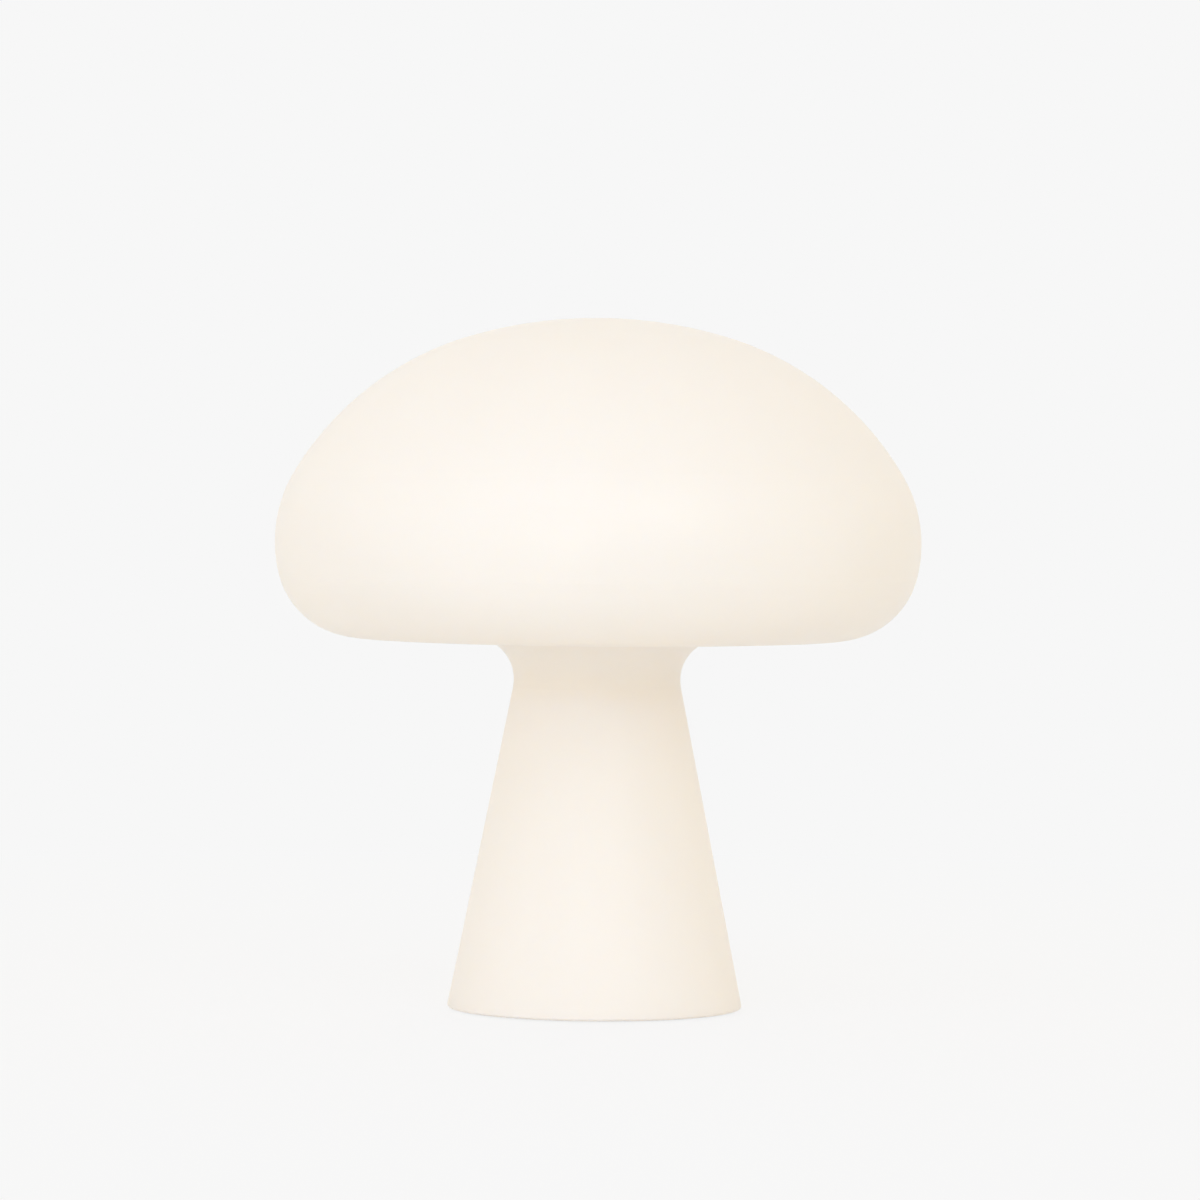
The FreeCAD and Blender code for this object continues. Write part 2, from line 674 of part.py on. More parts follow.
def port_bezel():
    """Flanged sleeve in the ground hole: its flange follows the glass, and two barbs hold it behind."""
    body_width = PLUG_WIDTH + 2 * BEZEL_WALL
    body_height = PLUG_HEIGHT + 2 * BEZEL_WALL
    hole_width = body_width + 2 * BEZEL_GAP
    hole_height = body_height + 2 * BEZEL_GAP
    inner_end = PORT_INNER_Y - SOCKET_SETBACK / 2
    outer_end = RIM_RADIUS + GLASS_WALL
    low = PORT_Z - hole_height
    high = PORT_Z + hole_height
    face = BEZEL_SEAT + BEZEL_THICKNESS
    flange = port_prism(
        hole_width + 2 * BEZEL_FLANGE, hole_height + 2 * BEZEL_FLANGE, inner_end, outer_end
    ).common(cone_shell(BEZEL_SEAT, face, low, high))
    sleeve = port_prism(body_width, body_height, inner_end - BARB_LENGTH, outer_end)
    sleeve = sleeve.common(cone_shell(-GLASS_WALL - BARB_LENGTH - BEZEL_GAP, face, low, high))
    barb_faces = (-GLASS_WALL - BEZEL_SEAT - BARB_LENGTH, -GLASS_WALL - BEZEL_SEAT)
    barbs = port_prism(
        hole_width + 2 * BEZEL_BARB, body_height, PORT_INNER_Y / 2, outer_end
    ).common(cone_shell(*barb_faces, low, high))
    middle = Part.makeBox(
        PLUG_WIDTH, outer_end, 2 * hole_height, vec(-PLUG_WIDTH / 2, 0, PORT_Z - hole_height)
    )
    recess = port_prism(PLUG_WIDTH, PLUG_HEIGHT, PORT_INNER_Y / 2, outer_end)
    return fused([flange, sleeve, barbs.cut(middle)]).cut(recess)


def connector(y):
    """Two-pole socket on the board, with the leads coming out of its top."""
    width, depth, height = CONNECTOR_SIZE
    body = block(width, depth, BOARD_TOP, BOARD_TOP + height, 0, y)
    return body.makeChamfer(CONNECTOR_BEVEL, [e for e in body.Edges if abs(e.tangentAt(0).z) > 0.9])


def power_inductor():
    radius, height = INDUCTOR
    x, y = INDUCTOR_PLACE
    drum = disc(radius, BOARD_TOP, BOARD_TOP + height, x, y)
    foot = block(2 * radius, 2 * radius, BOARD_TOP, BOARD_TOP + INDUCTOR_FOOT, x, y)
    return fused([drum, foot])


def board_chips():
    return Part.makeCompound(
        [block(width, depth, BOARD_TOP, BOARD_TOP + height, x, y) for x, y, width, depth, height in CHIPS]
    )


def status_led():
    width, depth, height = STATUS_LED_SIZE
    return block(width, depth, BOARD_TOP, BOARD_TOP + height, STATUS_LED_X, STATUS_LED_Y)


# ---------------------------------------------------------------- cells and their holder


def holder_width(radius):
    return CELL_PITCH + 2 * radius


def battery_holder():
    """Tall moulded can over both cells, with a screwed flange, gussets, and a boss for the tube."""
    inner_radius = CELL_RADIUS + CELL_GAP
    outer_radius = inner_radius + HOLDER_WALL
    can = stadium(holder_width(outer_radius), 2 * outer_radius, DECK_TOP, ROOF_TOP)
    flange = disc(HOLDER_FLANGE_RADIUS, DECK_TOP, DECK_TOP + HOLDER_FLANGE_THICKNESS)
    boss = disc(BOSS_RADIUS, ROOF_TOP, BOSS_TOP)
    gussets = [gusset(side * (outer_radius + CELL_PITCH / 2), 0, side) for side in (-1, 1)]
    half_pitch = GUSSET_PITCH / 2
    gussets += [gusset(x, side * outer_radius, side) for side in (-1, 1) for x in (-half_pitch, half_pitch)]
    cavity = stadium(holder_width(inner_radius), 2 * inner_radius, DECK_TOP, ROOF_BOTTOM)
    bore = disc(COLUMN_RADIUS + THREAD_GAP, ROOF_BOTTOM, BOSS_TOP)
    shank, _, _, length = HOLDER_SCREW
    screw_top = min(DECK_BOTTOM + length, DECK_TOP + HOLDER_FLANGE_THICKNESS)
    holes = [
        disc(shank + THREAD_GAP, DECK_TOP, screw_top, x, y)
        for x, y in around(HOLDER_SCREW_CIRCLE, HOLDER_SCREW_ANGLES)
    ]
    return fused([can, flange, boss, *gussets]).cut([cavity, bore, *holes])


def gusset(x, y, side):
    """Triangular rib between the can's wall at (x, y) and the flange. It leans outwards along X or Y."""
    bottom = DECK_TOP + HOLDER_FLANGE_THICKNESS
    outwards = vec(side, 0, 0) if y == 0 else vec(0, side, 0)
    across = vec(0, 1, 0) if y == 0 else vec(1, 0, 0)
    wall = vec(x, y, bottom) - outwards * (HOLDER_WALL / 2)
    reach = HOLDER_FLANGE_RADIUS - GUSSET_SETBACK - hypot(x, y) + HOLDER_WALL / 2
    corners = [wall, wall + outwards * reach, wall + Z_AXIS * GUSSET_HEIGHT, wall]
    shift = across * (-GUSSET_THICKNESS / 2)
    face = Part.Face(Part.makePolygon([c + shift for c in corners]))
    return face.extrude(across * GUSSET_THICKNESS)


def battery_cell(x):
    """Cylindrical cell with its crimp groove and button terminal."""
    below, width, depth = CELL_GROOVE
    terminal_radius, terminal_height = CELL_TERMINAL
    shoulder = CELL_TOP - terminal_height
    groove_top = shoulder - below
    cell = lathe(
        (0, CELL_BOTTOM),
        (CELL_RADIUS - CELL_BEVEL, CELL_BOTTOM),
        (CELL_RADIUS, CELL_BOTTOM + CELL_BEVEL),
        (CELL_RADIUS, groove_top - width),
        (CELL_RADIUS - depth, groove_top - width / 2),
        (CELL_RADIUS, groove_top),
        (CELL_RADIUS, shoulder - CELL_BEVEL),
        (CELL_RADIUS - CELL_BEVEL, shoulder),
        (terminal_radius, shoulder),
        (terminal_radius, CELL_TOP),
        (0, CELL_TOP),
    )
    cell.translate(vec(x, 0, 0))
    return cell


def cell_link(bottom):
    """Nickel strip that joins the two cells."""
    return stadium(CELL_PITCH + LINK_WIDTH, LINK_WIDTH, bottom, bottom + LINK_THICKNESS)


def cell_insulator():
    """Fibre sheet between the cells and the deck."""
    sheet = stadium(holder_width(CELL_RADIUS), 2 * CELL_RADIUS, DECK_TOP, LINK_BOTTOM_Z)
    return sheet.cut(block(*CABLE_SLOT, DECK_TOP, LINK_BOTTOM_Z))


def cell_pads():
    """Rubber discs that press the cells down."""
    radius = LINK_WIDTH / 2
    return Part.makeCompound(
        [disc(radius, PAD_BOTTOM, ROOF_BOTTOM, side * CELL_PITCH / 2, 0) for side in (-1, 1)]
    )


# ---------------------------------------------------------------- tube and LED head


def column_tube():
    outer = disc(COLUMN_RADIUS, ROOF_BOTTOM, SINK_BOTTOM)
    return outer.cut(disc(COLUMN_RADIUS - COLUMN_WALL, ROOF_BOTTOM, SINK_BOTTOM))


def lock_nut(bottom):
    nut = hexagon(NUT_HALF_FLATS, bottom, bottom + NUT_HEIGHT)
    corner = NUT_HALF_FLATS / cos(pi / 6)
    blank = lathe(
        (0, bottom),
        (corner - NUT_BEVEL, bottom),
        (corner, bottom + NUT_BEVEL),
        (corner, bottom + NUT_HEIGHT - NUT_BEVEL),
        (corner - NUT_BEVEL, bottom + NUT_HEIGHT),
        (0, bottom + NUT_HEIGHT),
    )
    return nut.common(blank).cut(disc(COLUMN_RADIUS + THREAD_GAP, bottom, bottom + NUT_HEIGHT))


def heat_sink():
    """Cast head: a disc with a stepped edge for the dome, radial fins under it, and a bored hub."""
    step_radius = SINK_RADIUS - DOME_WALL - DOME_GAP
    disc_part = lathe(
        (0, SINK_BOTTOM),
        (SINK_RADIUS, SINK_BOTTOM),
        (SINK_RADIUS, SINK_BOTTOM + SINK_FLANGE),
        (step_radius, SINK_BOTTOM + SINK_FLANGE),
        (step_radius, SINK_TOP),
        (0, SINK_TOP),
    )
    hub = disc(HUB_RADIUS, HUB_BOTTOM, SINK_BOTTOM)
    fin_length = SINK_RADIUS - FIN_SETBACK - HUB_RADIUS / 2
    fins = []
    for angle in evenly(FIN_COUNT):
        fin = Part.makeBox(
            fin_length, FIN_THICKNESS, FIN_HEIGHT, vec(HUB_RADIUS / 2, -FIN_THICKNESS / 2, HUB_BOTTOM)
        )
        fin.rotate(ORIGIN, Z_AXIS, angle)
        fins.append(fin)
    taper = lathe(
        (0, HUB_BOTTOM),
        (HUB_RADIUS + FIN_SETBACK * 2, HUB_BOTTOM),
        (SINK_RADIUS - FIN_SETBACK, SINK_BOTTOM - FIN_EDGE_HEIGHT),
        (SINK_RADIUS - FIN_SETBACK, SINK_BOTTOM),
        (0, SINK_BOTTOM),
    )
    finned = fused([hub, *fins]).common(taper)
    screw_bottom = LED_BOARD_TOP - LED_SCREW[3]
    cuts = [
        disc(COLUMN_RADIUS + THREAD_GAP, HUB_BOTTOM, SINK_BOTTOM),
        disc(LEAD_HOLE_RADIUS, SINK_BOTTOM, SINK_TOP),
    ]
    cuts += [
        disc(LED_SCREW[0] + THREAD_GAP, screw_bottom, SINK_TOP, x, y)
        for x, y in around(LED_SCREW_CIRCLE, LED_SCREW_ANGLES)
    ]
    return fused([disc_part, finned]).cut(cuts)


def led_board():
    holes = [disc(LEAD_HOLE_RADIUS, SINK_TOP, LED_BOARD_TOP)]
    holes += [
        disc(LED_SCREW[0] + THREAD_GAP, SINK_TOP, LED_BOARD_TOP, x, y)
        for x, y in around(LED_SCREW_CIRCLE, LED_SCREW_ANGLES)
    ]
    return disc(LED_BOARD_RADIUS, SINK_TOP, LED_BOARD_TOP).cut(holes)


def led_chips():
    """Ring of light-emitting packages, each turned to face along its own radius."""
    width, depth, height = LED_SIZE
    chips = []
    for angle in evenly(LED_COUNT):
        chip = block(width, depth, LED_BOARD_TOP, LED_BOARD_TOP + height, LED_CIRCLE, 0)
        chip.rotate(ORIGIN, Z_AXIS, angle + 180.0 / LED_COUNT)
        chips.append(chip)
    return Part.makeCompound(chips)


def diffuser_dome():
    """Opal cover of the LEDs: a skirt that slides over the heat sink's step, and a low round top."""
    bottom = SINK_BOTTOM + SINK_FLANGE
    spring = bottom + DOME_SKIRT
    turn = radians(DOME_SHOULDER_TURN)
    shoulder = (SINK_RADIUS - DOME_SHOULDER_RADIUS, spring)
    crown_radius = DOME_SHOULDER_RADIUS + shoulder[0] / cos(turn)
    crown = next_centre(shoulder, DOME_SHOULDER_RADIUS, crown_radius, turn)
    edges = [line(vec(SINK_RADIUS - DOME_WALL, 0, bottom), vec(SINK_RADIUS, 0, bottom))]
    tops = []
    for offset in (0, DOME_WALL):
        side = SINK_RADIUS - offset
        edges.append(line(vec(side, 0, bottom), vec(side, 0, spring)))
        edges.append(swept_arc(shoulder, DOME_SHOULDER_RADIUS - offset, 0, turn))
        edges.append(swept_arc(crown, crown_radius - offset, turn, pi / 2))
        tops.append(vec(0, 0, crown[1] + crown_radius - offset))
    edges.append(line(*tops))
    return revolved(Part.__sortEdges__(edges))


# ---------------------------------------------------------------- leads


def led_lead(side):
    """From the front connector up between the cells, in over them, up the tube, and down onto its pad."""
    x = side * LEAD_SPREAD / 2
    inside_y = -(COLUMN_RADIUS - COLUMN_WALL) / 3
    turn_in_z = CELL_TOP + LEAD_BEND / 4
    arch_z = LED_BOARD_TOP + LEAD_ARCH
    pad_x = side * LEAD_PAD_RADIUS
    points = [
        (x, -LEAD_ROW, BOARD_TOP + CONNECTOR_SIZE[2]),
        (x, -LEAD_ROW, turn_in_z),
        (x, inside_y, turn_in_z + LEAD_ROW + inside_y),
        (x, inside_y, arch_z),
        (pad_x, inside_y, arch_z),
        (pad_x, inside_y, LED_BOARD_TOP),
    ]
    return lead(points, [0, LEAD_BEND, LEAD_BEND, LEAD_ARCH / 2, LEAD_ARCH / 2, 0])


def battery_lead_positive():
    """From the edge of the upper link down between the cells to the rear connector."""
    x = LEAD_SPREAD / 2
    link_z = CELL_TOP + LINK_THICKNESS / 2
    points = [
        (x, LINK_WIDTH / 2, link_z),
        (x, LEAD_ROW, link_z),
        (x, LEAD_ROW, BOARD_TOP + CONNECTOR_SIZE[2]),
    ]
    return lead(points, [0, 2 * LEAD_RADIUS, 0])


def battery_lead_negative():
    """From under the lower link, with a jog, down to the rear connector."""
    x = -LEAD_SPREAD / 2
    start_y = LINK_WIDTH / 2 - 2 * LEAD_RADIUS
    connector_z = BOARD_TOP + CONNECTOR_SIZE[2]
    middle_z = (LINK_BOTTOM_Z + connector_z) / 2
    jog = (LEAD_ROW - start_y) / 2
    points = [
        (x, start_y, LINK_BOTTOM_Z),
        (x, start_y, middle_z + jog),
        (x, LEAD_ROW, middle_z - jog),
        (x, LEAD_ROW, connector_z),
    ]
    return lead(points, [0, 2 * LEAD_RADIUS, 2 * LEAD_RADIUS, 0])


# ---------------------------------------------------------------- screws


def screws(size, circle, angles, seat):
    return Part.makeCompound([screw_up(size, place, seat) for place in around(circle, angles)])


def led_screws():
    places = around(LED_SCREW_CIRCLE, LED_SCREW_ANGLES)
    return Part.makeCompound([screw_down(LED_SCREW, place, LED_BOARD_TOP) for place in places])


# ---------------------------------------------------------------- assembly


def assembly():
    """Every sub-part in its place, by node name."""
    return {
        "glass_body": glass_body(),
        "bonding_bead": bonding_bead(),
        "mounting_ring": mounting_ring(),
        "chassis": chassis(),
        "chassis_screws": screws(CHASSIS_SCREW, CHASSIS_SCREW_CIRCLE, CHASSIS_SCREW_ANGLES, DECK_BOTTOM),
        "bottom_cover": bottom_cover(),
        "cover_screws": screws(COVER_SCREW, PILLAR_CIRCLE, PILLAR_ANGLES, cover_screw_seat()),
        "foot_ring": foot_ring(),
        "ballast_ring": ballast_ring(),
        "push_button": push_button(),
        "tact_switch": tact_switch(),
        "switch_plunger": switch_plunger(),
        "main_board": main_board(),
        "usb_socket_shell": usb_socket_shell(),
        "usb_socket_tongue": usb_socket_tongue(),
        "port_bezel": port_bezel(),
        "led_connector": connector(-LEAD_ROW),
        "battery_connector": connector(LEAD_ROW),
        "power_inductor": power_inductor(),
        "board_chips": board_chips(),
        "status_led": status_led(),
        "battery_holder": battery_holder(),
        "holder_screws": screws(HOLDER_SCREW, HOLDER_SCREW_CIRCLE, HOLDER_SCREW_ANGLES, DECK_BOTTOM),
        "battery_cell_left": battery_cell(-CELL_PITCH / 2),
        "battery_cell_right": battery_cell(CELL_PITCH / 2),
        "cell_link_upper": cell_link(CELL_TOP),
        "cell_link_lower": cell_link(LINK_BOTTOM_Z),
        "cell_insulator": cell_insulator(),
        "cell_pads": cell_pads(),
        "battery_lead_positive": battery_lead_positive(),
        "battery_lead_negative": battery_lead_negative(),
        "column_tube": column_tube(),
        "column_nut_lower": lock_nut(BOSS_TOP),
        "column_nut_upper": lock_nut(HUB_BOTTOM - NUT_HEIGHT),
        "heat_sink": heat_sink(),
        "led_board": led_board(),
        "led_chips": led_chips(),
        "led_screws": led_screws(),
        "diffuser_dome": diffuser_dome(),
        "led_lead_positive": led_lead(1),
        "led_lead_negative": led_lead(-1),
    }


def main():
    os.makedirs("parts", exist_ok=True)
    for name, shape in assembly().items():
        shape.exportStep(os.path.join("parts", name + ".step"))
        state = "ok" if shape.isValid() and shape.Volume > 0 else "BAD"
        print(f"{name:24s} solids {len(shape.Solids):2d}  {shape.Volume / 1000:8.2f} cm3  {state}")


main()
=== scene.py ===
"""Looks of the mushroom table lamp: one blown opal glass body, and the light unit inside and under it."""

import json
import math

import bpy
from mathutils import Matrix, Vector

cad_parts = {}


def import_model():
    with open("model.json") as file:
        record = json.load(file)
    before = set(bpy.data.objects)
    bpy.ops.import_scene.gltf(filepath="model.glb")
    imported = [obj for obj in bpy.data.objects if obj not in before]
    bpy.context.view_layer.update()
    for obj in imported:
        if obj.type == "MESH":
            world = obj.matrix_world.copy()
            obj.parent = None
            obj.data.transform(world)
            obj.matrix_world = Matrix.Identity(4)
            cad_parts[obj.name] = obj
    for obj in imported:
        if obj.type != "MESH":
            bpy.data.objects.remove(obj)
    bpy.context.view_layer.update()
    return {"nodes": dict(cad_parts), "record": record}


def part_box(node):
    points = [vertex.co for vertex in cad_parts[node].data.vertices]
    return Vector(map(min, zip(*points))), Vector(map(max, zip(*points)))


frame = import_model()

NODES = frame["nodes"]

# ---------------------------------------------------------------- sizes, in metres where no unit is given

# Camera. It stands in front of the lamp, a little above the middle of the stem.
CAMERA_DISTANCE = 2.0
CAMERA_ELEVATION = 2.21          # degrees
CAMERA_ROLL = 0.48               # degrees
CAMERA_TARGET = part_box("glass_body")[0].z + 0.120   # height that the camera's place is set from
CAMERA_FOCAL = 172.1             # mm
CAMERA_SENSOR = 36.0             # mm, the width that the focal length goes with
CAMERA_NEAR = 0.05               # what is nearer than this isn't drawn
CAMERA_FAR = 50.0                # nor is what is farther
AIM_RIGHT = 0.0008               # middle of the picture, right of the lamp's axis
AIM_UP = 0.0221                  # and above the target

# Floor and backdrop. The floor is lit paint for everything but the eye, which sees little of its shading.
# Under the foot it is open, and from below it is clear, so that a view from there shows the underside.
BACKGROUND_STEPS = (247, 247, 247)
FLOOR_REACH = 6.0
FLOOR_DROP = 0.00005             # keeps the floor's face and the foot's apart
FLOOR_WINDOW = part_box("foot_ring")[1].x - 0.001      # radius of the opening, which the foot closes
FLOOR_SIDES = 96
FLOOR_EVENNESS = 0.88            # share of the plain background in the floor near the lamp
FLOOR_NEAR = 0.16                # radius within which that share holds
FLOOR_FAR = 0.75                 # radius beyond which the floor is as even as the backdrop

# Light. Azimuths and elevations are in degrees. Azimuth 0 is the camera's side, and 90 the picture's right.
# Some lamps give no shine, because theirs would draw a bright line along the cap's edge in a view from
# across the lamp.
WORLD_STRENGTH = 0.922
WORLD_TINT = (1.0, 0.935, 0.840)
LAMP_AIM = (0.0, 0.0, 0.14)
LAMPS = (                        # name, azimuth, elevation, distance, size, watts, tint, shine
    ("low", -12.0, 4.0, 2.2, 0.5, 2.4, (1.0, 1.0, 0.96), True),
    ("fill", 24.0, 27.0, 2.2, 1.2, 5.1, (0.85, 0.92, 1.0), True),
    ("side", -60.0, 15.0, 2.0, 1.2, 2.1, (1.0, 1.0, 0.86), False),
    ("key", -25.0, 27.0, 2.2, 1.2, 1.2, (0.20, 0.52, 1.0), True),
    ("sparkle", -18.0, 48.0, 2.2, 0.8, 3.4, (0.44, 0.58, 0.98), True),
    ("glint", -22.0, 17.0, 2.2, 0.3, 3.6, (0.05, 0.34, 1.0), False),
    ("back right", 152.0, 25.0, 2.2, 1.2, 3.4, (1.0, 0.96, 0.89), False),
    ("back left", -152.0, 25.0, 2.2, 1.2, 3.4, (1.0, 0.98, 0.92), False),
)

# ---------------------------------------------------------------- node helpers


class Shader:
    """A material with a Principled shader, and short calls for the nodes that feed it."""

    def __init__(self, name):
        self.name = name
        self.material = bpy.data.materials.new(name)
        self.material.use_nodes = True
        self.tree = self.material.node_tree
        self.tree.nodes.clear()
        self.output = self.tree.nodes.new("ShaderNodeOutputMaterial")
        self.bsdf = self.tree.nodes.new("ShaderNodeBsdfPrincipled")
        self.link(self.bsdf.outputs["BSDF"], self.output.inputs["Surface"])
        self.coordinates = self.tree.nodes.new("ShaderNodeTexCoord").outputs["Object"]

    def link(self, source, target):
        self.tree.links.new(source, target)

    def set(self, **values):
        """Sets sockets of the Principled shader. An underscore stands for a space."""
        for key, value in values.items():
            self.bsdf.inputs[key.replace("_", " ")].default_value = value

    def mapping(self, scale):
        """Object coordinates, scaled by its own number along each axis."""
        node = self.tree.nodes.new("ShaderNodeMapping")
        node.inputs["Scale"].default_value = scale
        self.link(self.coordinates, node.inputs["Vector"])
        return node.outputs["Vector"]

    def noise(self, scale, detail=2.0, roughness=0.5, vector=None):
        """Cloudy noise, from 0 to 1."""
        node = self.tree.nodes.new("ShaderNodeTexNoise")
        node.inputs["Scale"].default_value = scale
        node.inputs["Detail"].default_value = detail
        node.inputs["Roughness"].default_value = roughness
        self.link(vector or self.coordinates, node.inputs["Vector"])
        return node.outputs["Fac"]

    def cells(self, scale, feature="F1"):
        """Distance in a field of random cells, to a cell's middle or to its edge."""
        node = self.tree.nodes.new("ShaderNodeTexVoronoi")
        node.feature = feature
        node.inputs["Scale"].default_value = scale
        self.link(self.coordinates, node.inputs["Vector"])
        return node.outputs["Distance"]

    def ramp(self, factor, stops):
        """Colour ramp from (position, colour) stops."""
        node = self.tree.nodes.new("ShaderNodeValToRGB")
        elements = node.color_ramp.elements
        for element, (position, colour) in zip(elements, stops, strict=True):
            element.position = position
            element.color = (*colour, 1.0)
        self.link(factor, node.inputs["Fac"])
        return node.outputs["Color"]

    def spread(self, factor, low, high, start=0.0, end=1.0):
        """Maps the range from start to end to the range from low to high."""
        node = self.tree.nodes.new("ShaderNodeMapRange")
        node.inputs["From Min"].default_value = start
        node.inputs["From Max"].default_value = end
        node.inputs["To Min"].default_value = low
        node.inputs["To Max"].default_value = high
        self.link(factor, node.inputs["Value"])
        return node.outputs["Result"]

    def mix(self, factor, first, second):
        """Goes from a colour's socket to a plain colour, as the factor goes from 0 to 1."""
        node = self.tree.nodes.new("ShaderNodeMix")
        node.data_type = "RGBA"
        sockets = {socket.identifier: socket for socket in node.inputs}
        self.link(factor, sockets["Factor_Float"])
        self.link(first, sockets["A_Color"])
        sockets["B_Color"].default_value = (*second, 1.0)
        return next(s for s in node.outputs if s.identifier == "Result_Color")

    def bump(self, height, distance, strength, normal=None):
        """Normal of a skin with that relief, over another normal where one is given."""
        node = self.tree.nodes.new("ShaderNodeBump")
        node.inputs["Distance"].default_value = distance
        node.inputs["Strength"].default_value = strength
        self.link(height, node.inputs["Height"])
        if normal:
            self.link(normal, node.inputs["Normal"])
        return node.outputs["Normal"]

    def colour(self, socket):
        self.link(socket, self.bsdf.inputs["Base Color"])

    def rough(self, socket):
        self.link(socket, self.bsdf.inputs["Roughness"])

    def normal(self, socket):
        self.link(socket, self.bsdf.inputs["Normal"])


def calculated(tree, operation, first, second):
    """Result of one operation on two numbers."""
    node = tree.nodes.new("ShaderNodeMath")
    node.operation = operation
    tree.links.new(first, node.inputs[0])
    tree.links.new(second, node.inputs[1])
    return node.outputs["Value"]


def blended(tree, factor, first, second):
    """Goes from the first shader to the second, as the factor goes from 0 to 1."""
    node = tree.nodes.new("ShaderNodeMixShader")
    tree.links.new(factor, node.inputs["Fac"])
    tree.links.new(first, node.inputs[1])
    tree.links.new(second, node.inputs[2])
    return node.outputs["Shader"]


def srgb(red, green, blue):
    """Linear colour of a tone given in 8-bit steps, as a paint chart gives it."""

    def linear(step):
        value = step / 255
        return value / 12.92 if value <= 0.04045 else ((value + 0.055) / 1.055) ** 2.4

    return linear(red), linear(green), linear(blue)


def shifted(colour, factor):
    """A colour made lighter or darker, up to white."""
    return tuple(min(1.0, c * factor) for c in colour)


# ---------------------------------------------------------------- materials


def opal_glass():
    """Etched opal glass: milky, warm, faintly clouded, with the fine bite of the acid on its skin."""
    shader = Shader("opal_glass")
    cream = srgb(252, 242, 229)
    clouds = shader.noise(scale=14.0, detail=3.0, roughness=0.45)
    shader.colour(shader.ramp(clouds, [(0.30, shifted(cream, 0.985)), (0.70, cream)]))
    shader.set(IOR=1.5, Specular_IOR_Level=0.5)
    shader.set(Subsurface_Weight=0.35, Subsurface_Scale=0.012, Subsurface_Radius=(1.0, 0.80, 0.60))
    uneven = shader.noise(scale=60.0, detail=2.0)
    shader.rough(shader.spread(uneven, low=0.38, high=0.46, start=0.3, end=0.7))
    ripple = shader.noise(scale=22.0, detail=1.0, roughness=0.4)
    skin = shader.bump(ripple, distance=0.00012, strength=0.5)
    etch = shader.noise(scale=2600.0, detail=2.0, roughness=0.6)
    shader.normal(shader.bump(etch, distance=0.00002, strength=0.4, normal=skin))
    return shader


def moulded(name, colour, roughness, grain=1400.0, depth=0.00003):
    """Injection-moulded plastic with a spark-eroded grain and faint flow marks."""
    shader = Shader(name)
    flow = shader.noise(scale=35.0, detail=4.0, roughness=0.6)
    shader.colour(shader.ramp(flow, [(0.25, shifted(colour, 0.93)), (0.75, shifted(colour, 1.03))]))
    shader.rough(shader.spread(flow, low=roughness - 0.06, high=roughness + 0.08))
    shader.normal(shader.bump(shader.cells(grain), depth, strength=0.6))
    shader.set(IOR=1.46)
    return shader


def silicone(name, colour):
    """Soft silicone: matte, slightly waxy, with dust-fine mottling."""
    shader = Shader(name)
    mottle = shader.noise(scale=90.0, detail=5.0, roughness=0.65)
    shader.colour(shader.ramp(mottle, [(0.3, shifted(colour, 0.85)), (0.7, shifted(colour, 1.08))]))
    shader.rough(shader.spread(mottle, low=0.62, high=0.8))
    shader.set(IOR=1.42, Sheen_Weight=0.12, Sheen_Roughness=0.5)
    shader.normal(shader.bump(shader.noise(scale=1200.0), distance=0.00002, strength=0.5))
    return shader


def metal(name, colour, roughness, grain, depth=0.00001):
    """Machined or drawn metal: grain stretched along the tool's path, with faint stains."""
    shader = Shader(name)
    lines = shader.noise(scale=1.0, detail=3.0, roughness=0.6, vector=shader.mapping(grain))
    stain = shader.noise(scale=40.0, detail=4.0, roughness=0.6)
    shader.colour(shader.ramp(stain, [(0.3, shifted(colour, 0.88)), (0.75, colour)]))
    shader.rough(shader.spread(lines, low=roughness - 0.08, high=roughness + 0.08, start=0.3, end=0.7))
    shader.set(Metallic=1.0)
    shader.normal(shader.bump(lines, depth, strength=0.5))
    return shader


def cast_metal(name, colour):
    """Die-cast metal: grainy skin, slightly uneven tone."""
    shader = Shader(name)
    skin = shader.noise(scale=700.0, detail=4.0, roughness=0.7)
    tone = shader.noise(scale=55.0, detail=3.0)
    shader.colour(shader.ramp(tone, [(0.3, shifted(colour, 0.85)), (0.7, shifted(colour, 1.05))]))
    shader.rough(shader.spread(skin, low=0.38, high=0.58, start=0.3, end=0.7))
    shader.set(Metallic=1.0)
    shader.normal(shader.bump(skin, distance=0.00005, strength=0.5))
    return shader


def board(name, mask, trace):
    """Printed board: solder mask over faint copper traces."""
    shader = Shader(name)
    tracks = shader.cells(260.0, "DISTANCE_TO_EDGE")
    pattern = shader.ramp(tracks, [(0.05, trace), (0.09, mask)])
    cloud = shader.noise(scale=80.0, detail=3.0)
    shader.colour(shader.mix(shader.spread(cloud, low=0.0, high=0.25), pattern, shifted(mask, 0.8)))
    shader.rough(shader.spread(cloud, low=0.25, high=0.4))
    shader.set(Coat_Weight=0.3, Coat_Roughness=0.2)
    shader.normal(shader.bump(tracks, distance=0.00002, strength=0.4))
    return shader


def sleeve(name, colour):
    """Shrink sleeve of a cell: glossy film with fine puckers."""
    shader = Shader(name)
    along = shader.mapping((120.0, 120.0, 18.0))
    pucker = shader.noise(scale=1.0, detail=3.0, roughness=0.5, vector=along)
    shader.colour(shader.ramp(pucker, [(0.3, shifted(colour, 0.85)), (0.7, shifted(colour, 1.1))]))
    shader.rough(shader.spread(pucker, low=0.18, high=0.3))
    shader.set(Coat_Weight=0.4, Coat_Roughness=0.12)
    shader.normal(shader.bump(pucker, distance=0.00006, strength=0.5))
    return shader


